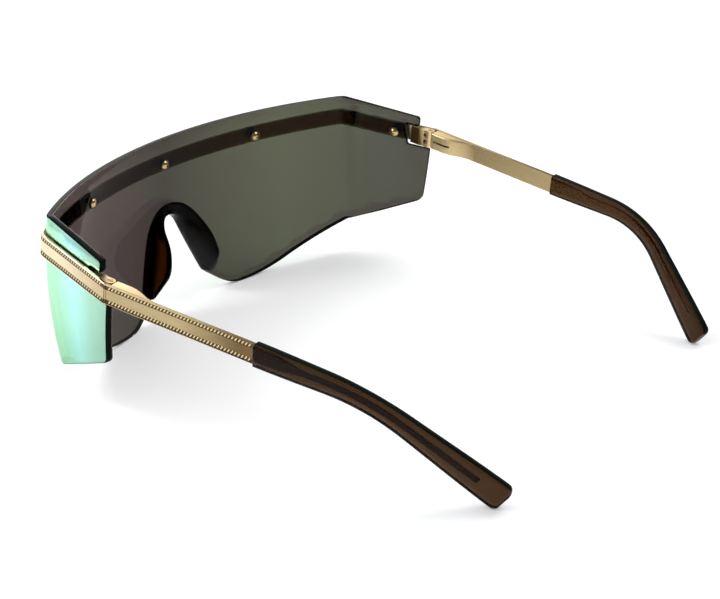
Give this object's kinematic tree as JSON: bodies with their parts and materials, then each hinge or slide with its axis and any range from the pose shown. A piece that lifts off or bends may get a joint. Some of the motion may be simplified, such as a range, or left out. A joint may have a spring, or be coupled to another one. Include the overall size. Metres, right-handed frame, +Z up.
{
  "type": "shield sunglasses",
  "caption": "Wraparound shield sunglasses: a mirrored lens screwed inside a gold brow bar, folding spring-hinge temples, dark see-through tips and nose bridge.",
  "frame": {"origin": "bottom centre of the open sunglasses, on the surface that the lens and the temple tips stand on", "axes": "+X to the wearer's left, -Y forward through the lens, +Z up"},
  "size_m": [0.1482, 0.1614, 0.0554],
  "materials": {
    "mirror_lens": "mint mirror coating outside, smoke grey inside",
    "gold": "satin pale gold plating",
    "screw_gold": "polished gold plating",
    "nose_plastic": "polished dark brown, slightly see-through",
    "tip_plastic": "polished see-through dark brown",
    "nylon": "moulded",
    "steel": "plain"
  },
  "bodies": {
    "front": {"shield_lens": "mirror_lens", "brow_bar": "gold", "nose_bridge": "nose_plastic", "lens_screws": "screw_gold", "lens_bushes": "nylon", "bar_spacers": "nylon", "left_end_piece": "gold", "right_end_piece": "gold", "left_hinge_screw": "screw_gold", "right_hinge_screw": "screw_gold"},
    "left_slider": {"left_hinge_slider": "steel"},
    "left_temple_arm": {"left_temple": "gold", "left_spring_housing": "gold", "left_spring_collar": "steel", "left_hinge_spring": "steel", "left_temple_tip": "tip_plastic"},
    "right_slider": {"right_hinge_slider": "steel"},
    "right_temple_arm": {"right_temple": "gold", "right_spring_housing": "gold", "right_spring_collar": "steel", "right_hinge_spring": "steel", "right_temple_tip": "tip_plastic"}
  },
  "joints": [
    {"name": "left_temple_fold", "type": "hinge", "parent": "front", "child": "left_slider", "pos_m": [0.07134, -0.02704, 0.04185], "axis": [-0.0141, 0.1644, 0.9863], "range_deg": [0, 90]},
    {"name": "left_spring_travel", "type": "slide", "parent": "left_slider", "child": "left_temple_arm", "axis": [-0.0842, 0.9827, -0.165], "range_m": [0, 0.001], "stiffness_N_per_m": 1800, "springref_m": -0.001, "deforming": ["left_hinge_spring"]},
    {"name": "right_temple_fold", "type": "hinge", "parent": "front", "child": "right_slider", "pos_m": [-0.07134, -0.02704, 0.04185], "axis": [-0.0141, -0.1644, -0.9863], "range_deg": [0, 84]},
    {"name": "right_spring_travel", "type": "slide", "parent": "right_slider", "child": "right_temple_arm", "axis": [0.0842, 0.9827, -0.165], "range_m": [0, 0.001], "stiffness_N_per_m": 1800, "springref_m": -0.001, "deforming": ["right_hinge_spring"]}
  ]
}
